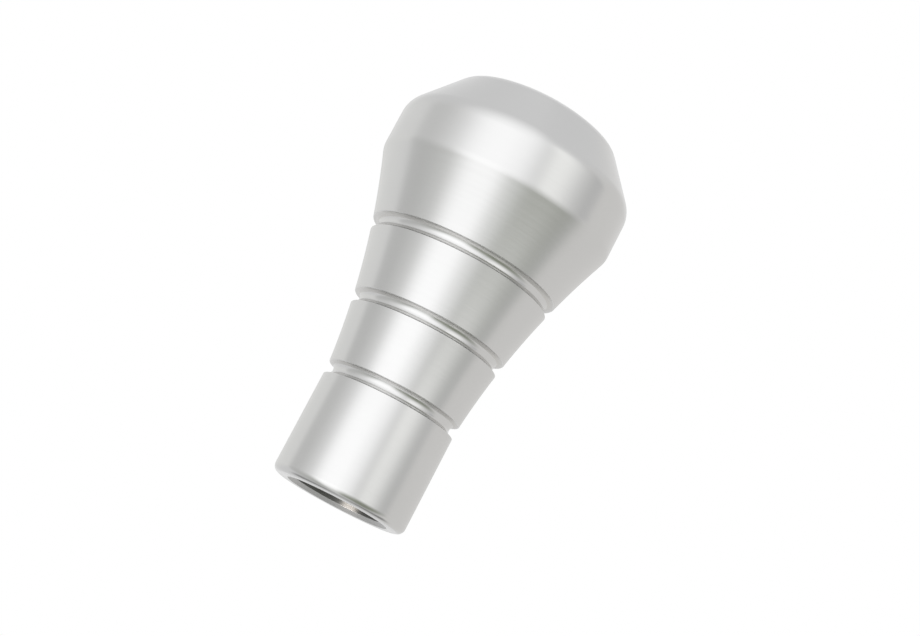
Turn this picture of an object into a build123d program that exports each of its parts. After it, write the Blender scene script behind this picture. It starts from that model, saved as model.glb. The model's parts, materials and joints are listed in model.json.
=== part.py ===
"""Gear shift knob, turned from one bar of aluminium.

The knob stands on the flat face that meets the shift lever. Its axis is Z, and the
origin is the centre of that face. From the face upwards it has a straight collar, a
flank that flares outwards in one hollow curve with ring grooves, a straight band at
its widest place, a bevel and a low domed crown. The lever enters from below, through a
counterbore into a blind tapped hole.
"""

import os
from math import radians, sqrt, tan

from build123d import *

# Outer form, millimetres: heights stack from the lever face to the top of the crown
base_diameter = 25.0
head_diameter = 44.2
collar_height = 19.9
flare_height = 39.6
band_height = 8.5
bevel_height = 8.8
bevel_width = 7.0
crown_rise = 3.2
flare_curve_radius = 140.0

# Ring grooves: the lowest is where the flare starts, and they share its height evenly
groove_count = 3
groove_radius = 1.2
groove_edge_break = 0.15

# Roundings of the outer edges
base_edge_radius = 1.35
shoulder_radius = 3.5
band_edge_radius = 4.5
crown_edge_radius = 4.0

# Lever socket: a metric fine thread below a counterbore with a countersunk mouth
counterbore_diameter = 17.0
counterbore_depth = 12.0
mouth_width = 1.05
mouth_depth = 0.65
thread_diameter = 12.0
thread_pitch = 1.25
thread_depth = 25.0
drill_point_angle = 118.0

# Sizes that follow from the driving dimensions
base_radius = base_diameter / 2
head_radius = head_diameter / 2
crown_radius = head_radius - bevel_width
shoulder_height = collar_height + flare_height
band_top = shoulder_height + band_height
crown_height = band_top + bevel_height
overall_length = crown_height + crown_rise
groove_pitch = flare_height / groove_count
groove_heights = [collar_height + index * groove_pitch for index in range(groove_count)]
counterbore_radius = counterbore_diameter / 2
tap_drill_radius = (thread_diameter - thread_pitch) / 2
thread_end = counterbore_depth + thread_depth
drill_tip = thread_end + tap_drill_radius / tan(radians(drill_point_angle / 2))


with BuildPart() as knob:
    # The outer form is one half section, turned about the axis
    with BuildSketch(Plane.XZ) as outer_section:
        with BuildLine():
            collar = Polyline((0, 0), (base_radius, 0), (base_radius, collar_height))
            flare = RadiusArc(collar @ 1, (head_radius, shoulder_height), flare_curve_radius)
            head = Polyline(flare @ 1, (head_radius, band_top), (crown_radius, crown_height))
            crown = TangentArc((0, overall_length), head @ 1, tangent=(1, 0))
            Line(crown @ 0, collar @ 0)
        make_face()
        for corner, radius in (
            ((base_radius, 0), base_edge_radius),
            ((head_radius, shoulder_height), shoulder_radius),
            ((head_radius, band_top), band_edge_radius),
            ((crown_radius, crown_height), crown_edge_radius),
        ):
            fillet(outer_section.vertices().sort_by_distance(corner)[0], radius)

        # Each groove is a half round, centred on the flare's own curve, with its edges broken
        flare_centre = flare.arc_center
        with Locations(
            *[
                (flare_centre.X - sqrt(flare_curve_radius**2 - (height - flare_centre.Y) ** 2), height)
                for height in groove_heights
            ]
        ):
            Circle(groove_radius, mode=Mode.SUBTRACT)
        chamfer(outer_section.vertices(Select.LAST), groove_edge_break)
    revolve(axis=Axis.Z)

    # The lever socket is turned out from the flat face
    with BuildSketch(Plane.XZ):
        with BuildLine():
            Polyline(
                (0, 0),
                (counterbore_radius + mouth_width, 0),
                (counterbore_radius, mouth_depth),
                (counterbore_radius, counterbore_depth),
                (tap_drill_radius, counterbore_depth),
                (tap_drill_radius, thread_end),
                (0, drill_tip),
                close=True,
            )
        make_face()
    revolve(axis=Axis.Z, mode=Mode.SUBTRACT)

knob.part.label = "knob"
os.makedirs("parts", exist_ok=True)
export_step(knob.part, "parts/knob.step")
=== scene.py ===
"""Gear shift knob, dressed as fine-turned bare aluminium and lit in a white studio.

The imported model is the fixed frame. One turned mesh stands for its knob: it follows the
same half section, with its edges broken as a turner breaks them and with the thread cut
in the lever socket. Lengths are in millimetres until a mesh, a lamp or a pattern is made,
and angles are in degrees until they are used.
"""

import json
import logging
from dataclasses import dataclass
from enum import Enum
from math import atan2, ceil, cos, pi, radians, sin, sqrt, tan
from typing import NamedTuple, Union

import bpy
import numpy as np
from mathutils import Matrix, Vector


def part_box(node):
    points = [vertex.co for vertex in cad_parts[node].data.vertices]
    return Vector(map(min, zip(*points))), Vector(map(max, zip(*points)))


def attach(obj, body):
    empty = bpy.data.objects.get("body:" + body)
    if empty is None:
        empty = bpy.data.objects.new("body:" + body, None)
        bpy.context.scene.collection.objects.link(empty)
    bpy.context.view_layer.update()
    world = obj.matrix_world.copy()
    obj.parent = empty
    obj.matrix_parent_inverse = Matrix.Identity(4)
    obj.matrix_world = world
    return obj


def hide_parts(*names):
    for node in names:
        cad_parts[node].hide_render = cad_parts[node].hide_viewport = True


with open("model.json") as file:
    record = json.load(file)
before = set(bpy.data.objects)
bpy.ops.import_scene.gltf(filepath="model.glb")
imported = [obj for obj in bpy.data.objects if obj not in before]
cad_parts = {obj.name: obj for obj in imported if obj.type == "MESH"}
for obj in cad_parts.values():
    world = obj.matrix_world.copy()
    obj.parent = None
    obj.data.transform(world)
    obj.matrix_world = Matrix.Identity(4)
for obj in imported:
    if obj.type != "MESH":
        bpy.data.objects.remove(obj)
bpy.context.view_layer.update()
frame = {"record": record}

LOG = logging.getLogger("gear_shift_knob")
METRES_PER_MM = 0.001

# The sRGB curve has a straight foot, and above it a power of the offset share
SRGB_FOOT = 0.04045
SRGB_FOOT_SLOPE = 12.92
SRGB_OFFSET = 0.055
SRGB_POWER = 2.4

# A Mix node has sockets of every type under the same names, so its colours go by number
MIX_SHARE = 0
MIX_FIRST = 6
MIX_SECOND = 7
MIX_RESULT = 2

# Edges that lie past every direction, for a card that has no edge on that side
NO_LEFT_EDGE = (-192, -191)
NO_RIGHT_EDGE = (191, 192)
NO_LOW_EDGE = (-92, -91)
NO_HIGH_EDGE = (91, 92)


def linear(colour: str) -> tuple[float, float, float, float]:
    """Turns an sRGB hex colour into linear light.

    Args:
        colour: Hex colour such as "#C8C8C6".

    Returns:
        Red, green, blue and alpha, each from 0 to 1.
    """
    light = []
    for place in (1, 3, 5):
        share = int(colour[place : place + 2], 16) / 255
        if share <= SRGB_FOOT:
            light.append(share / SRGB_FOOT_SLOPE)
        else:
            light.append(((share + SRGB_OFFSET) / (1 + SRGB_OFFSET)) ** SRGB_POWER)
    return (*light, 1.0)


def add_node(
    tree: bpy.types.NodeTree,
    kind: str,
    inputs: dict[Union[str, int], object],
    **settings: object,
) -> bpy.types.Node:
    """Adds a node with its settings, its values and its links.

    Args:
        tree: Node tree that takes the node.
        kind: Blender's type name of the node.
        inputs: A value, or a socket to link, for each input by name or by number.
        settings: Properties of the node itself.

    Returns:
        The new node.
    """
    node = tree.nodes.new(kind)
    for name, setting in settings.items():
        setattr(node, name, setting)
    for key, given in inputs.items():
        if isinstance(given, bpy.types.NodeSocket):
            tree.links.new(given, node.inputs[key])
        else:
            node.inputs[key].default_value = given
    return node


def empty_tree(owner: Union[bpy.types.Material, bpy.types.World]) -> bpy.types.NodeTree:
    """Turns on the nodes of a material or a world and clears them.

    Args:
        owner: The material or the world.

    Returns:
        Its node tree, with nothing in it.
    """
    owner.use_nodes = True
    owner.node_tree.nodes.clear()
    return owner.node_tree


def add_object(name: str, contents: bpy.types.ID) -> bpy.types.Object:
    """Makes an object and puts it in the scene.

    Args:
        name: Name of the object.
        contents: Its mesh, lamp or camera.

    Returns:
        The new object, at the origin.
    """
    thing = bpy.data.objects.new(name, contents)
    bpy.context.scene.collection.objects.link(thing)
    return thing


class Bulge(Enum):
    """Which way a round stretch of an outline bends."""

    ROUND = 1
    HOLLOW = -1


class Hand(Enum):
    """Which way a thread climbs."""

    RIGHT = 1
    LEFT = -1


class Cut(Enum):
    """How the lathe cut a stretch of the surface, and where shade is painted on it, numbered as the
    mesh's materials are.
    """

    TURNED = 0
    FORMED = 1
    BORED = 2
    COUNTERSUNK = 3
    RUBBED = 4


@dataclass(frozen=True)
class Straight:
    """Straight stretch of a half section, drawn with the metal on its left."""

    start: Vector
    end: Vector
    cut: Cut = Cut.TURNED

    def heading(self) -> Vector:
        """Gives the direction in which the stretch is drawn."""
        return (self.end - self.start).normalized()

    def normal_at(self, point: Vector) -> Vector:
        """Gives the direction out of the metal, which is the same at every point."""
        heading = self.heading()
        return Vector((heading.y, -heading.x))

    def sunk(self, depth: float) -> "Straight":
        """Gives the same stretch, moved into the metal."""
        shift = self.normal_at(self.start) * -depth
        return Straight(self.start + shift, self.end + shift, self.cut)

    def foot(self, point: Vector) -> Vector:
        """Gives the nearest place on the stretch to a point."""
        heading = self.heading()
        return self.start + heading * (point - self.start).dot(heading)


@dataclass(frozen=True)
class Round:
    """Round stretch of a half section: an arc of one circle."""

    centre: Vector
    radius: float
    bulge: Bulge
    cut: Cut = Cut.TURNED

    def normal_at(self, point: Vector) -> Vector:
        """Gives the direction out of the metal at a point of the arc."""
        return (point - self.centre).normalized() * self.bulge.value

    def cut_at(self, point: Vector) -> Cut:
        """Gives how the lathe cut the arc, which is the same at every point."""
        return self.cut

    def sunk(self, depth: float) -> "Round":
        """Gives the same stretch, moved into the metal."""
        return Round(self.centre, self.radius - depth * self.bulge.value, self.bulge, self.cut)

    def foot(self, point: Vector) -> Vector:
        """Gives the nearest place on the circle to a point."""
        return self.centre + (point - self.centre).normalized() * self.radius


@dataclass(frozen=True)
class Groove(Round):
    """Round stretch that a form tool cut, whose overhanging wall is duller and painted darker as shade.
    """

    # The wall takes the painted shade where it faces down by more than this angle
    painted_shade_slope: float = 40.0

    def cut_at(self, point: Vector) -> Cut:
        """Gives the painted-shade finish on the overhanging wall, and the form tool's cut elsewhere."""
        overhangs = self.normal_at(point).y < -sin(radians(self.painted_shade_slope))
        return Cut.RUBBED if overhangs else self.cut


Stretch = Union[Straight, Round]


def crossing(first: Stretch, second: Stretch, near: Vector) -> Vector:
    """Finds where two stretches, drawn on without end, cross.

    Args:
        first: One stretch.
        second: The other stretch.
        near: Place that picks one of two crossings.

    Returns:
        The crossing that is nearest to that place.
    """
    if isinstance(first, Round) and isinstance(second, Straight):
        first, second = second, first
    if isinstance(second, Straight):
        across = second.normal_at(near)
        share = (second.start - first.start).dot(across) / first.heading().dot(across)
        return first.start + first.heading() * share
    if isinstance(first, Straight):
        middle = first.foot(second.centre)
        heading = first.heading()
        reach = sqrt(second.radius**2 - (middle - second.centre).length_squared)
    else:
        between = second.centre - first.centre
        share = (first.radius**2 - second.radius**2 + between.length_squared) / (2 * between.length)
        middle = first.centre + between.normalized() * share
        heading = Vector((between.y, -between.x)).normalized()
        reach = sqrt(first.radius**2 - share**2)
    places = (middle + heading * reach, middle - heading * reach)
    return min(places, key=lambda place: (place - near).length)


class Corner(NamedTuple):
    """Corner between two stretches, and the arc that rounds it."""

    place: Vector
    radius: float
    bulge: Bulge
    cut: Cut = Cut.TURNED


class SkinPoint(NamedTuple):
    """Point of the half section: its normal, its share of a full thread and the cut that follows it."""

    radius: float
    height: float
    normal_out: float
    normal_up: float
    thread: float
    cut: Cut


@dataclass(frozen=True)
class TurnedAluminium:
    """Bare aluminium bar, fine turned on a lathe and left unpolished.

    The tool leaves fine rings round the axis. They spread a reflection along the axis and
    keep it fairly sharp round it, so the eye sees soft bands of light and shade that run up
    the knob, with a satin grey between them and faint rings that catch the light.
    """

    name: str = "fine_turned_aluminium"
    colour: str = "#E6E6E6"
    worn_colour: str = "#E3E3E3"
    roughness: float = 0.25
    roughness_spread: float = 0.03
    anisotropy: float = 0.72
    # A quarter turn sets the rough direction along the axis, across the tool's rings
    rough_direction: float = 0.25
    # The feed is about a pixel and a half of the render, so its rings are drawn twice as coarse
    feed_mm: float = 0.25
    times_as_coarse: float = 2.0
    ring_depth_mm: float = 0.006
    ring_detail: float = 3.0
    # Handling leaves cloudy patches about a centimetre wide
    cloud_size_mm: float = 9.0

    def rings(self, tree: bpy.types.NodeTree, place: bpy.types.NodeSocket) -> bpy.types.NodeSocket:
        """Draws the tool's rings, uneven in depth as a real tool leaves them.

        Args:
            tree: The material's node tree.
            place: Socket with the place on the knob.

        Returns:
            Socket with the height of the surface, as a share of the rings' depth.
        """
        height = add_node(tree, "ShaderNodeSeparateXYZ", {"Vector": place}).outputs["Z"]
        flat = add_node(tree, "ShaderNodeVectorMath", {0: place, 1: (1, 1, 0)}, operation="MULTIPLY")
        radius = add_node(tree, "ShaderNodeVectorMath", {0: flat.outputs[0]}, operation="LENGTH")
        # Height less radius grows all the way from the collar to the crown, so it counts the rings
        path = add_node(
            tree,
            "ShaderNodeMath",
            {0: height, 1: radius.outputs["Value"]},
            operation="SUBTRACT",
        )
        pitch = self.feed_mm * self.times_as_coarse * METRES_PER_MM
        rings = add_node(
            tree,
            "ShaderNodeTexNoise",
            {"W": path.outputs[0], "Scale": 1 / pitch, "Detail": self.ring_detail},
            noise_dimensions="1D",
        )
        return rings.outputs["Fac"]

    def material(self) -> bpy.types.Material:
        """Makes the material.

        Returns:
            The material, with its rings, clouds and direction of roughness.
        """
        material = bpy.data.materials.new(self.name)
        tree = empty_tree(material)
        place = add_node(tree, "ShaderNodeTexCoord", {}).outputs["Object"]
        rings = self.rings(tree, place)
        clouds = add_node(
            tree,
            "ShaderNodeTexNoise",
            {"Vector": place, "Scale": 1 / (self.cloud_size_mm * METRES_PER_MM)},
        )
        tint = add_node(
            tree,
            "ShaderNodeMix",
            {
                MIX_SHARE: clouds.outputs["Fac"],
                MIX_FIRST: linear(self.colour),
                MIX_SECOND: linear(self.worn_colour),
            },
            data_type="RGBA",
        )
        roughness = add_node(
            tree,
            "ShaderNodeMapRange",
            {
                "Value": rings,
                "To Min": self.roughness - self.roughness_spread,
                "To Max": self.roughness + self.roughness_spread,
            },
        )
        bump = add_node(
            tree,
            "ShaderNodeBump",
            {"Height": rings, "Distance": self.ring_depth_mm * METRES_PER_MM},
        )
        round_axis = add_node(tree, "ShaderNodeTangent", {}, direction_type="RADIAL", axis="Z")
        metal = add_node(
            tree,
            "ShaderNodeBsdfPrincipled",
            {
                "Base Color": tint.outputs[MIX_RESULT],
                "Metallic": 1.0,
                "Roughness": roughness.outputs[0],
                "Anisotropic": self.anisotropy,
                "Anisotropic Rotation": self.rough_direction,
                "Normal": bump.outputs[0],
                "Tangent": round_axis.outputs[0],
            },
        )
        add_node(tree, "ShaderNodeOutputMaterial", {"Surface": metal.outputs[0]})
        return material


@dataclass(frozen=True)
class FormCutAluminium(TurnedAluminium):
    """The same bar where a form tool was pushed straight in and left no feed rings.

    The cut is smoother than the turned skin, so the eye sees thin clear streaks of light and dark.
    """

    name: str = "form_cut_aluminium"
    roughness: float = 0.17
    roughness_spread: float = 0.01
    anisotropy: float = 0.3
    ring_depth_mm: float = 0.00005


@dataclass(frozen=True)
class BoredAluminium(TurnedAluminium):
    """The same bar inside the socket, bored, tapped and dull.

    Its colour is painted darker as the socket's shade, so the eye sees a dark hole with a soft gleam.
    """

    name: str = "bored_aluminium"
    # Both colours are painted darker as shade inside the socket
    colour: str = "#989896"
    worn_colour: str = "#8C8C89"
    roughness: float = 0.42
    anisotropy: float = 0.74


@dataclass(frozen=True)
class CountersunkAluminium(TurnedAluminium):
    """The same bar at the socket's mouth, countersunk in one quick pass and left dull.

    It spreads light nearly all ways, and its colour is painted a little darker as the shade at the
    socket's mouth, so the eye sees an even grey rim round the dark hole.
    """

    name: str = "countersunk_aluminium"
    # The colours are painted a little darker as shade at the socket's mouth
    colour: str = "#DADADA"
    worn_colour: str = "#D4D4D4"
    roughness: float = 0.55
    anisotropy: float = 0.2


@dataclass(frozen=True)
class OverhangPaintedShadeAluminium(TurnedAluminium):
    """The same bar on the overhanging wall under the upper lip of each groove.

    It is duller, and its colour is painted darker as the shade under the lip, so the eye sees a soft dark
    band along the lip.
    """

    name: str = "rubbed_aluminium"
    # The darker colours are painted shade under the groove's upper lip
    colour: str = "#DEDDDB"
    worn_colour: str = "#DAD9D7"
    roughness: float = 0.3
    anisotropy: float = 0.3


@dataclass
class TurnedKnob:
    """The knob: collar, grooved flare, bevelled head, domed crown and threaded socket."""

    head_radius: float
    length: float
    counterbore_radius: float
    counterbore_depth: float
    tap_drill_radius: float
    thread_depth: float
    base_radius: float = 12.5
    collar_height: float = 19.9
    flare_height: float = 39.6
    band_height: float = 8.5
    bevel_height: float = 8.8
    bevel_width: float = 7.0
    flare_curve_radius: float = 140.0
    groove_count: int = 3
    groove_radius: float = 1.2
    lower_lip_radius: float = 0.05
    upper_lip_radius: float = 0.15
    base_edge_radius: float = 1.35
    shoulder_radius: float = 3.5
    band_edge_radius: float = 4.5
    crown_edge_radius: float = 4.0
    mouth_width: float = 1.05
    mouth_depth: float = 0.65
    mouth_edge_radius: float = 0.06
    counterbore_corner_radius: float = 0.4
    thread_pitch: float = 1.25
    thread_hand: Hand = Hand.RIGHT
    # A cut thread is 0.54 of its pitch deep, and its flanks and flats share the pitch
    thread_cut: float = 0.54
    thread_sharpness: float = 0.6
    thread_rows: int = 11
    thread_fade_turns: float = 0.8
    drill_point_angle: float = 118.0
    drill_corner_radius: float = 0.3
    tip_radius: float = 0.02
    # The mesh: points round the axis, and the largest turn and length between points of an arc
    columns: int = 160
    arc_step: float = 7.5
    longest_step: float = 1.0

    @classmethod
    def from_frame(cls) -> "TurnedKnob":
        """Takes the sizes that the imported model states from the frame.

        Returns:
            The knob, with the rest of its sizes as the class gives them.
        """
        low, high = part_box("knob")
        mounts = {mount["name"]: mount for mount in frame["record"]["mounts"]}
        counterbore = mounts["lever_counterbore"]
        thread = mounts["lever_thread"]
        thread_middle = thread["pos_m"][2] / METRES_PER_MM
        thread_depth = thread["dims"]["length_mm"]
        return cls(
            head_radius=high.x / METRES_PER_MM,
            length=(high.z - low.z) / METRES_PER_MM,
            counterbore_radius=counterbore["dims"]["r_mm"],
            counterbore_depth=thread_middle - thread_depth / 2,
            tap_drill_radius=thread["dims"]["r_mm"],
            thread_depth=thread_depth,
        )

    def arc(self, stretch: Round, start: Vector, end: Vector) -> list[SkinPoint]:
        """Sets points along a round stretch, close enough to look round.

        Args:
            stretch: The arc's circle and the way it bends.
            start: First point of the arc.
            end: Last point of the arc.

        Returns:
            Points from the first to the last, with the arc's own normals.
        """
        first = start - stretch.centre
        last = end - stretch.centre
        sweep = atan2(first.x * last.y - first.y * last.x, first.dot(last))
        turn = abs(sweep)
        steps = ceil(max(turn / radians(self.arc_step), turn * stretch.radius / self.longest_step))
        start_angle = atan2(first.y, first.x)
        points = []
        for step in range(steps + 1):
            angle = start_angle + sweep * step / steps
            place = stretch.centre + Vector((cos(angle), sin(angle))) * stretch.radius
            points.append(SkinPoint(*place, *stretch.normal_at(place), 0.0, stretch.cut_at(place)))
        return points

    def skin(self, stretches: list[Stretch], corners: list[Corner]) -> list[SkinPoint]:
        """Draws a chain of stretches with every corner rounded.

        Args:
            stretches: The stretches in order.
            corners: The corner after each stretch but the last.

        Returns:
            Points from the first rounding to the last one.
        """
        points: list[SkinPoint] = []
        begin = None
        for before, corner, after in zip(stretches, corners, stretches[1:]):
            depth = corner.radius * corner.bulge.value
            centre = crossing(before.sunk(depth), after.sunk(depth), corner.place)
            rounding = Round(centre, corner.radius, corner.bulge, corner.cut)
            start, end = before.foot(centre), after.foot(centre)
            if isinstance(before, Round) and begin is not None:
                points += self.arc(before, begin, start)[1:-1]
            points += self.arc(rounding, start, end)
            points[-1] = points[-1]._replace(cut=after.cut)
            begin = end
        return points

    def socket(self) -> tuple[list[Stretch], list[Corner]]:
        """Draws the socket's mouth, from the start of the thread to the ring that the knob stands on.

        Returns:
            The stretches in order, and the corner after each but the last.
        """
        thread_radius = self.tap_drill_radius + self.thread_cut * self.thread_pitch
        entry_height = self.counterbore_depth + thread_radius - self.tap_drill_radius
        entry_top = Vector((self.tap_drill_radius, entry_height))
        entry = Vector((thread_radius, self.counterbore_depth))
        floor_corner = Vector((self.counterbore_radius, self.counterbore_depth))
        mouth_inner = Vector((self.counterbore_radius, self.mouth_depth))
        mouth_outer = Vector((self.counterbore_radius + self.mouth_width, 0))
        base_edge = Vector((self.base_radius, 0))
        stretches: list[Stretch] = [
            Straight(entry_top + Vector((0, self.thread_pitch)), entry_top, Cut.BORED),
            Straight(entry_top, entry, Cut.BORED),
            Straight(entry, floor_corner, Cut.BORED),
            Straight(floor_corner, mouth_inner, Cut.BORED),
            Straight(mouth_inner, mouth_outer, Cut.COUNTERSUNK),
            Straight(mouth_outer, base_edge),
        ]
        corners = [
            Corner(entry_top, self.mouth_edge_radius, Bulge.ROUND, Cut.BORED),
            Corner(entry, self.mouth_edge_radius, Bulge.ROUND, Cut.BORED),
            Corner(floor_corner, self.counterbore_corner_radius, Bulge.HOLLOW, Cut.BORED),
            Corner(mouth_inner, self.mouth_edge_radius, Bulge.ROUND, Cut.COUNTERSUNK),
            Corner(mouth_outer, self.mouth_edge_radius, Bulge.ROUND, Cut.FORMED),
        ]
        return stretches, corners

    def flare_centre(self) -> Vector:
        """Gives the centre of the arc that the flank follows.

        Returns:
            The centre, well outside the knob, because the flank is hollow.
        """
        foot = Vector((self.base_radius, self.collar_height))
        head = Vector((self.head_radius, self.collar_height + self.flare_height))
        chord = head - foot
        outwards = Vector((chord.y, -chord.x)).normalized()
        return (foot + head) / 2 + outwards * sqrt(self.flare_curve_radius**2 - chord.length_squared / 4)

    def flank(self, collar: Straight) -> tuple[list[Stretch], list[Corner]]:
        """Draws the flare with its grooves, each a half round centred on the flare's own curve.

        Args:
            collar: The stretch below the lowest groove.

        Returns:
            Each groove and the flare above it in turn, and the lip before each of them.
        """
        flare = Round(self.flare_centre(), self.flare_curve_radius, Bulge.HOLLOW)
        reach = Vector((0, self.groove_radius))
        stretches: list[Stretch] = []
        lips: list[Corner] = []
        below: Stretch = collar
        for index in range(self.groove_count):
            height = self.collar_height + self.flare_height * index / self.groove_count
            level = Straight(Vector((0, height)), Vector((self.head_radius, height)))
            centre = crossing(level, flare, collar.end)
            groove = Groove(centre, self.groove_radius, Bulge.HOLLOW, Cut.FORMED)
            lower_lip = crossing(groove, below, centre - reach)
            upper_lip = crossing(groove, flare, centre + reach)
            lips.append(Corner(lower_lip, self.lower_lip_radius, Bulge.ROUND))
            lips.append(Corner(upper_lip, self.upper_lip_radius, Bulge.ROUND))
            stretches += [groove, flare]
            below = flare
        return stretches, lips

    def outside(self) -> list[SkinPoint]:
        """Draws the half section from the start of the thread to the top of the crown.

        Returns:
            Points of the socket's mouth, collar, flare, head and crown, in that order.
        """
        shoulder_height = self.collar_height + self.flare_height
        band_top = shoulder_height + self.band_height
        crown_height = band_top + self.bevel_height
        crown_radius = self.head_radius - self.bevel_width
        crown_rise = self.length - crown_height
        dome_radius = (crown_radius**2 + crown_rise**2) / (2 * crown_rise)

        base_edge = Vector((self.base_radius, 0))
        collar_top = Vector((self.base_radius, self.collar_height))
        shoulder = Vector((self.head_radius, shoulder_height))
        band_edge = Vector((self.head_radius, band_top))
        crown_edge = Vector((crown_radius, crown_height))
        apex = Vector((0, self.length))

        collar = Straight(base_edge, collar_top)
        band = Straight(shoulder, band_edge)
        bevel = Straight(band_edge, crown_edge)
        dome = Round(apex - Vector((0, dome_radius)), dome_radius, Bulge.ROUND)
        socket, socket_corners = self.socket()
        flank, lips = self.flank(collar)
        corners = [
            *socket_corners,
            Corner(base_edge, self.base_edge_radius, Bulge.ROUND, Cut.FORMED),
            *lips,
            Corner(shoulder, self.shoulder_radius, Bulge.ROUND),
            Corner(band_edge, self.band_edge_radius, Bulge.ROUND),
            Corner(crown_edge, self.crown_edge_radius, Bulge.ROUND),
        ]
        points = self.skin([*socket, collar, *flank, band, bevel, dome], corners)
        crown_start = Vector((points[-1].radius, points[-1].height))
        return points + self.arc(dome, crown_start, apex)[1:-1]

    def tip_height(self) -> float:
        """Gives the height of the drill point's tip."""
        point_height = self.tap_drill_radius / tan(radians(self.drill_point_angle / 2))
        return self.counterbore_depth + self.thread_depth + point_height

    def drill_point(self) -> list[SkinPoint]:
        """Draws the blind end of the tapped hole.

        Returns:
            Points from beside the tip to the start of the hole's wall.
        """
        tip = Vector((0, self.tip_height()))
        corner = Vector((self.tap_drill_radius, self.counterbore_depth + self.thread_depth))
        cone = Straight(tip, corner, Cut.BORED)
        wall = Straight(corner, corner - Vector((0, self.thread_pitch)), Cut.BORED)
        beside_tip = tip + cone.heading() * self.tip_radius
        start = SkinPoint(*beside_tip, *cone.normal_at(tip), 0.0, Cut.BORED)
        rounding = Corner(corner, self.drill_corner_radius, Bulge.HOLLOW, Cut.BORED)
        return [start] + self.skin([cone, wall], [rounding])

    def thread(self, top: float, bottom: float) -> list[SkinPoint]:
        """Draws the hole's wall, in rows close enough for the thread to show.

        Args:
            top: Height just above the first row.
            bottom: Height just below the last row.

        Returns:
            Points down the wall. The thread grows to its full depth and fades out again.
        """
        count = ceil((top - bottom) / self.thread_pitch * self.thread_rows)
        fade = self.thread_fade_turns * self.thread_pitch
        points = []
        for row in range(1, count):
            height = top + (bottom - top) * row / count
            share = min(1.0, (top - height) / fade, (height - bottom) / fade)
            points.append(SkinPoint(self.tap_drill_radius, height, -1.0, 0.0, share, Cut.BORED))
        return points

    def surface(self, section: list[SkinPoint]) -> tuple[np.ndarray, np.ndarray]:
        """Turns the half section round the axis and cuts the thread in the hole's wall.

        Args:
            section: Points of the half section.

        Returns:
            The places and the normals of all points, row by row.
        """
        # The last field of a point is its cut, and those before it are numbers
        numbers = np.array([point[:-1] for point in section])
        radius, height, normal_out, normal_up, thread = numbers.T[:, :, None]
        angle = np.linspace(0, 2 * pi, self.columns, endpoint=False)[None, :]

        # The thread is a clipped wave round the wall, cut outwards from the drilled hole
        turn = 2 * pi * height / self.thread_pitch - self.thread_hand.value * angle
        depth = self.thread_cut * self.thread_pitch * thread
        wave = 0.5 + self.thread_sharpness * np.cos(turn)
        slope = np.where((wave > 0) & (wave < 1), -self.thread_sharpness * np.sin(turn), 0.0) * depth
        radius = radius + depth * np.clip(wave, 0, 1)
        normal_up = normal_up + slope * 2 * pi / self.thread_pitch
        normal_round = slope * -self.thread_hand.value / radius

        across, along = np.cos(angle), np.sin(angle)
        level = np.broadcast_to(height, radius.shape)
        places = np.stack((radius * across, radius * along, level), axis=-1)
        normals = np.stack(
            (
                normal_out * across - normal_round * along,
                normal_out * along + normal_round * across,
                np.broadcast_to(normal_up, radius.shape),
            ),
            axis=-1,
        )
        normals = normals / np.linalg.norm(normals, axis=-1, keepdims=True)
        return places.reshape(-1, 3), normals.reshape(-1, 3)

    def faces(self, section: list[SkinPoint]) -> tuple[list[tuple[int, ...]], list[int]]:
        """Joins the rows of points with faces and closes both ends.

        Args:
            section: Points of the half section.

        Returns:
            The faces, and the number of each one's material.
        """
        tip = len(section) * self.columns
        apex = tip + 1
        last = tip - self.columns
        faces: list[tuple[int, ...]] = []
        finishes: list[int] = []
        for column in range(self.columns):
            after = (column + 1) % self.columns
            faces.append((tip, after, column))
            finishes.append(section[0].cut.value)
            for row, point in enumerate(section[:-1]):
                low, high = row * self.columns, (row + 1) * self.columns
                faces.append((low + column, low + after, high + after, high + column))
                finishes.append(point.cut.value)
            faces.append((last + column, last + after, apex))
            finishes.append(section[-1].cut.value)
        return faces, finishes

    def build(self) -> bpy.types.Object:
        """Turns the half section into one closed mesh.

        Returns:
            The knob's object, in metres, with exact normals.
        """
        blind_end = self.drill_point()
        outer_skin = self.outside()
        wall = self.thread(blind_end[-1].height, outer_skin[0].height)
        section = blind_end + wall + outer_skin
        places, normals = self.surface(section)
        faces, finishes = self.faces(section)
        ends = [(0, 0, self.tip_height()), (0, 0, self.length)]
        places = np.concatenate((places, ends)) * METRES_PER_MM
        normals = np.concatenate((normals, [(0, 0, -1), (0, 0, 1)]))
        mesh = bpy.data.meshes.new("turned_knob")
        mesh.from_pydata(places.tolist(), [], faces)
        mesh.polygons.foreach_set("material_index", finishes)
        mesh.shade_smooth()
        mesh.normals_split_custom_set_from_vertices(normals.tolist())
        return add_object("turned_knob", mesh)

    def dress(self, knob: bpy.types.Object, finishes: dict[Cut, TurnedAluminium]) -> None:
        """Gives the knob its finishes and its place in the frame.

        Args:
            knob: The knob's object.
            finishes: The finish for each kind of cut, some with shade painted into their colour.
        """
        for cut in Cut:
            knob.data.materials.append(finishes[cut].material())
        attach(knob, "root")
        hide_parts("knob")


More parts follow.
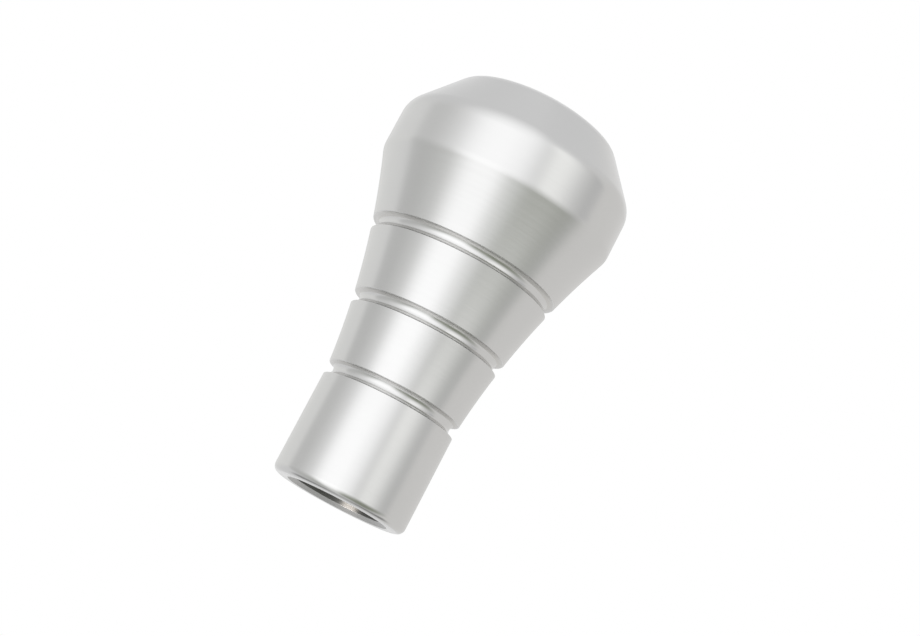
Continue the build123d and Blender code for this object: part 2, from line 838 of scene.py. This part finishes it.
@dataclass(frozen=True)
class Panel:
    """One soft card of the studio, as the range of directions that it fills.

    Azimuths are in degrees from the camera's side, growing to the right, and elevations are
    degrees above the horizon. Each pair is where the card begins and where it is full, or
    where it stops being full and where it ends.
    """

    name: str
    colour: str
    left: tuple[float, float] = NO_LEFT_EDGE
    right: tuple[float, float] = NO_RIGHT_EDGE
    low: tuple[float, float] = NO_LOW_EDGE
    high: tuple[float, float] = NO_HIGH_EDGE

    def mask(
        self,
        tree: bpy.types.NodeTree,
        azimuth: bpy.types.NodeSocket,
        elevation: bpy.types.NodeSocket,
    ) -> bpy.types.NodeSocket:
        """Works out how much of the card lies in each direction.

        Args:
            tree: The world's node tree.
            azimuth: Socket with the direction's azimuth in degrees.
            elevation: Socket with the direction's elevation in degrees.

        Returns:
            Socket that is 1 on the card, 0 off it and soft at its edges.
        """
        soft_edges = []
        for angle, edge, before, after in (
            (azimuth, self.left, 0.0, 1.0),
            (azimuth, self.right, 1.0, 0.0),
            (elevation, self.low, 0.0, 1.0),
            (elevation, self.high, 1.0, 0.0),
        ):
            soft_edge = add_node(
                tree,
                "ShaderNodeMapRange",
                {
                    "Value": angle,
                    "From Min": edge[0],
                    "From Max": edge[1],
                    "To Min": before,
                    "To Max": after,
                },
                interpolation_type="SMOOTHSTEP",
            )
            soft_edges.append(soft_edge.outputs[0])
        mask, *others = soft_edges
        for other in others:
            both = add_node(tree, "ShaderNodeMath", {0: mask, 1: other}, operation="MULTIPLY")
            mask = both.outputs[0]
        return mask


# Each card lies over the ones before it
STUDIO_CARDS = (
    Panel("left backdrop", "#CDCDCB", left=(-180, -155), right=(-60, -50), low=(-30, 12), high=(0, 42)),
    Panel("right backdrop", "#C1C0BE", left=(60, 80), right=(160, 178), high=(30, 60)),
    Panel("table shade", "#9D9D9C", high=(-72, -36)),
    Panel("left flag", "#828281", left=(-162, -150), right=(-124, -108), low=(-84, -70), high=(-50, -36)),
    Panel("rear flag", "#7C7C7B", left=(102, 116), right=(142, 156), low=(-84, -70), high=(-50, -36)),
    Panel("left table end", "#D1D1D1", right=(-176, -156), low=(-26, -10), high=(0, 8)),
    Panel("right table end", "#D1D1D1", left=(172, 182), low=(-26, -10), high=(0, 8)),
    Panel("left back wall", "#DDDDDD", right=(-190, -130), low=(8, 24), high=(40, 70)),
    Panel("right back wall", "#DDDDDD", left=(130, 190), low=(8, 24), high=(40, 70)),
    Panel("front shade", "#B1B1B0", left=(-112, -99), right=(77, 89), high=(-10, 50)),
    Panel("right flag", "#A9A9A9", left=(70, 82), right=(87, 95), low=(9, 17), high=(25, 45)),
    Panel("near table", "#7F8277", left=(-120, 13), right=(62, 100), low=(-80, -60), high=(-38, 8)),
    Panel("key spill", "#F3F3F3", left=(-91, -22), right=(0, 38), low=(-72, 12), high=(24, 98)),
    Panel("key light", "#FFFFFF", left=(-62, -32), right=(-15, 7), low=(-110, 0), high=(-4, 38)),
    Panel("fill light", "#ECECEA", left=(17, 35), right=(40, 75), low=(-43, 24), high=(40, 54)),
)


def ray_angles(tree: bpy.types.NodeTree) -> tuple[bpy.types.NodeSocket, bpy.types.NodeSocket]:
    """Works out which way each ray leaves the scene.

    Args:
        tree: The world's node tree.

    Returns:
        Sockets with the ray's azimuth and its elevation, in degrees.
    """
    direction = add_node(tree, "ShaderNodeTexCoord", {}).outputs["Generated"]
    part = add_node(tree, "ShaderNodeSeparateXYZ", {"Vector": direction}).outputs
    towards = add_node(tree, "ShaderNodeMath", {0: part["Y"], 1: -1.0}, operation="MULTIPLY")
    turn = add_node(tree, "ShaderNodeMath", {0: part["X"], 1: towards.outputs[0]}, operation="ARCTAN2")
    azimuth = add_node(tree, "ShaderNodeMath", {0: turn.outputs[0]}, operation="DEGREES")
    rise = add_node(tree, "ShaderNodeMath", {0: part["Z"]}, operation="ARCSINE")
    elevation = add_node(tree, "ShaderNodeMath", {0: rise.outputs[0]}, operation="DEGREES")
    return azimuth.outputs[0], elevation.outputs[0]


@dataclass
class Studio:
    """White studio: a floor that keeps the shadow, and soft cards that the metal reflects."""

    panels: tuple[Panel, ...] = STUDIO_CARDS
    tent_colour: str = "#C2C2C2"
    # The metal keeps back a fifth of the light, and the cards make up for it
    card_strength: float = 1.29
    even_colour: str = "#FAFAFA"
    background_colour: str = "#FFFFFF"
    floor_colour: str = "#F6F6F4"
    floor_radius: float = 600.0
    floor_fade: tuple[float, float] = (140.0, 420.0)
    floor_drop: float = 0.05
    floor_corners: int = 96

    def build_floor(self) -> bpy.types.Object:
        """Lays the floor just under the knob.

        Returns:
            The floor's object.
        """
        ring = [2 * pi * corner / self.floor_corners for corner in range(self.floor_corners)]
        reach = self.floor_radius * METRES_PER_MM
        height = -self.floor_drop * METRES_PER_MM
        mesh = bpy.data.meshes.new("floor")
        rim = [(reach * cos(angle), reach * sin(angle), height) for angle in ring]
        mesh.from_pydata(rim, [], [tuple(range(self.floor_corners))])
        floor = add_object("floor", mesh)
        floor.visible_glossy = False
        # The spots for the socket shine from under the floor
        floor.visible_shadow = False
        return floor

    def dress_floor(self, floor: bpy.types.Object) -> None:
        """Gives the floor a matt white card that fades out and is clear from below.

        Args:
            floor: The floor's object.
        """
        material = bpy.data.materials.new("matt_white_card")
        tree = empty_tree(material)
        place = add_node(tree, "ShaderNodeTexCoord", {}).outputs["Object"]
        distance = add_node(tree, "ShaderNodeVectorMath", {0: place}, operation="LENGTH")
        fade = add_node(
            tree,
            "ShaderNodeMapRange",
            {
                "Value": distance.outputs["Value"],
                "From Min": self.floor_fade[0] * METRES_PER_MM,
                "From Max": self.floor_fade[1] * METRES_PER_MM,
            },
            interpolation_type="SMOOTHSTEP",
        )
        below = add_node(tree, "ShaderNodeNewGeometry", {}).outputs["Backfacing"]
        clear = add_node(tree, "ShaderNodeMath", {0: fade.outputs[0], 1: below}, operation="MAXIMUM")
        card = add_node(tree, "ShaderNodeBsdfDiffuse", {"Color": linear(self.floor_colour)})
        nothing = add_node(tree, "ShaderNodeBsdfTransparent", {})
        surface = add_node(
            tree,
            "ShaderNodeMixShader",
            {0: clear.outputs[0], 1: card.outputs[0], 2: nothing.outputs[0]},
        )
        add_node(tree, "ShaderNodeOutputMaterial", {"Surface": surface.outputs[0]})
        floor.data.materials.append(material)

    def cards(self, tree: bpy.types.NodeTree) -> bpy.types.NodeSocket:
        """Sets the cards up round the knob, inside a pale tent.

        Args:
            tree: The world's node tree.

        Returns:
            Socket with the colour that a ray from the metal meets.
        """
        azimuth, elevation = ray_angles(tree)
        colour: object = linear(self.tent_colour)
        for panel in self.panels:
            laid_over = add_node(
                tree,
                "ShaderNodeMix",
                {
                    MIX_SHARE: panel.mask(tree, azimuth, elevation),
                    MIX_FIRST: colour,
                    MIX_SECOND: linear(panel.colour),
                },
                data_type="RGBA",
                label=panel.name,
            )
            colour = laid_over.outputs[MIX_RESULT]
        return colour

    def light(self) -> None:
        """Lights the studio: cards for the metal, even light for the floor, white for the camera."""
        world = bpy.data.worlds.new("white_studio")
        bpy.context.scene.world = world
        # The cards show only to rays that leave the metal, so the world isn't sampled as a lamp
        world.cycles.sampling_method = "NONE"
        tree = empty_tree(world)
        even = add_node(tree, "ShaderNodeBackground", {"Color": linear(self.even_colour)})
        studio = add_node(
            tree,
            "ShaderNodeBackground",
            {"Color": self.cards(tree), "Strength": self.card_strength},
        )
        white = add_node(tree, "ShaderNodeBackground", {"Color": linear(self.background_colour)})
        ray = add_node(tree, "ShaderNodeLightPath", {}).outputs
        seen = add_node(
            tree,
            "ShaderNodeMath",
            {0: ray["Is Camera Ray"], 1: ray["Is Transmission Ray"]},
            operation="MAXIMUM",
        )
        lit = add_node(
            tree,
            "ShaderNodeMixShader",
            {0: ray["Is Glossy Ray"], 1: even.outputs[0], 2: studio.outputs[0]},
        )
        shown = add_node(
            tree,
            "ShaderNodeMixShader",
            {0: seen.outputs[0], 1: lit.outputs[0], 2: white.outputs[0]},
        )
        add_node(tree, "ShaderNodeOutputWorld", {"Surface": shown.outputs[0]})


@dataclass(frozen=True)
class SocketSpots:
    """Row of small spots that shine up into the socket and leave a gleam on its far wall.

    Their beams pass under the near rim and light nothing else. Angles are counted as a
    card's are.
    """

    count: int = 4
    azimuths: tuple[float, float] = (-43.0, -17.0)
    elevation: float = -15.0
    distance: float = 150.0
    gleam_height: float = 0.7
    beam: float = 1.2
    beam_softness: float = 0.6
    lamp_radius: float = 2.0
    colour: str = "#FFF6F0"
    watts: float = 0.38

    def build(self, wall_radius: float) -> list[bpy.types.Object]:
        """Sets the spots up and aims them at the wall.

        Args:
            wall_radius: Radius of the socket's wall.

        Returns:
            The spots' objects.
        """
        first, last = (radians(azimuth) for azimuth in self.azimuths)
        rise = radians(self.elevation)
        spots = []
        for index in range(self.count):
            turn = first + (last - first) * index / (self.count - 1)
            away = Vector((sin(turn) * cos(rise), -cos(turn) * cos(rise), sin(rise)))
            # The round wall turns a reflection twice as far as the gleam lies from its middle
            side = wall_radius * sin(turn / 2)
            back = wall_radius * cos(turn / 2)
            gleam = Vector((-side, back, self.gleam_height))
            lamp = bpy.data.lights.new("socket_spot", "SPOT")
            lamp.energy = self.watts
            lamp.color = linear(self.colour)[:3]
            lamp.spot_size = radians(self.beam)
            lamp.spot_blend = self.beam_softness
            lamp.shadow_soft_size = self.lamp_radius * METRES_PER_MM
            spot = add_object("socket_spot", lamp)
            spot.location = (gleam + away * self.distance) * METRES_PER_MM
            spot.rotation_euler = away.to_track_quat("Z", "Y").to_euler()
            spots.append(spot)
        return spots


@dataclass(frozen=True)
class PhotoCamera:
    """Camera at the photograph's viewing angle: below the knob's base, and rolled."""

    # The place, the angles and the lens were fitted to the knob's outline in the photograph
    place: tuple[float, float, float] = (3.964, -319.33, -25.76)
    looks_up: float = 11.377
    roll: float = 27.685
    lens: float = 72.897
    sensor: float = 36.0
    nearest: float = 10.0

    def build(self) -> bpy.types.Object:
        """Sets the camera up and makes it the scene's camera.

        Returns:
            The camera's object.
        """
        tilt, roll = radians(self.looks_up), radians(self.roll)
        forward = Vector((0, cos(tilt), sin(tilt)))
        level_right = Vector((1, 0, 0))
        level_up = level_right.cross(forward)
        right = level_right * cos(roll) + level_up * sin(roll)
        up = level_up * cos(roll) - level_right * sin(roll)
        turned = Matrix((right, up, -forward)).transposed().to_4x4()
        optics = bpy.data.cameras.new("photo_camera")
        optics.sensor_fit = "HORIZONTAL"
        optics.sensor_width = self.sensor
        optics.lens = self.lens
        optics.clip_start = self.nearest * METRES_PER_MM
        camera = add_object("photo_camera", optics)
        camera.matrix_world = Matrix.Translation(Vector(self.place) * METRES_PER_MM) @ turned
        bpy.context.scene.camera = camera
        return camera


def main() -> None:
    """Builds the knob, the studio and the camera in order."""
    logging.basicConfig(level=logging.INFO, format="%(message)s")
    bpy.context.scene.view_settings.view_transform = "Standard"

    turned_knob = TurnedKnob.from_frame()
    knob = turned_knob.build()
    finishes = {
        Cut.TURNED: TurnedAluminium(),
        Cut.FORMED: FormCutAluminium(),
        Cut.BORED: BoredAluminium(),
        Cut.COUNTERSUNK: CountersunkAluminium(),
        Cut.RUBBED: OverhangPaintedShadeAluminium(),
    }
    turned_knob.dress(knob, finishes)
    LOG.info("%s: %d faces", knob.name, len(knob.data.polygons))

    studio = Studio()
    floor = studio.build_floor()
    studio.dress_floor(floor)
    studio.light()
    LOG.info("%s: %d cards round it", floor.name, len(studio.panels))

    spots = SocketSpots().build(turned_knob.counterbore_radius)
    LOG.info("%s: %d in a row", spots[0].name, len(spots))

    camera = PhotoCamera().build()
    LOG.info("%s: %.1f mm lens", camera.name, camera.data.lens)


if __name__ == "__main__":
    main()
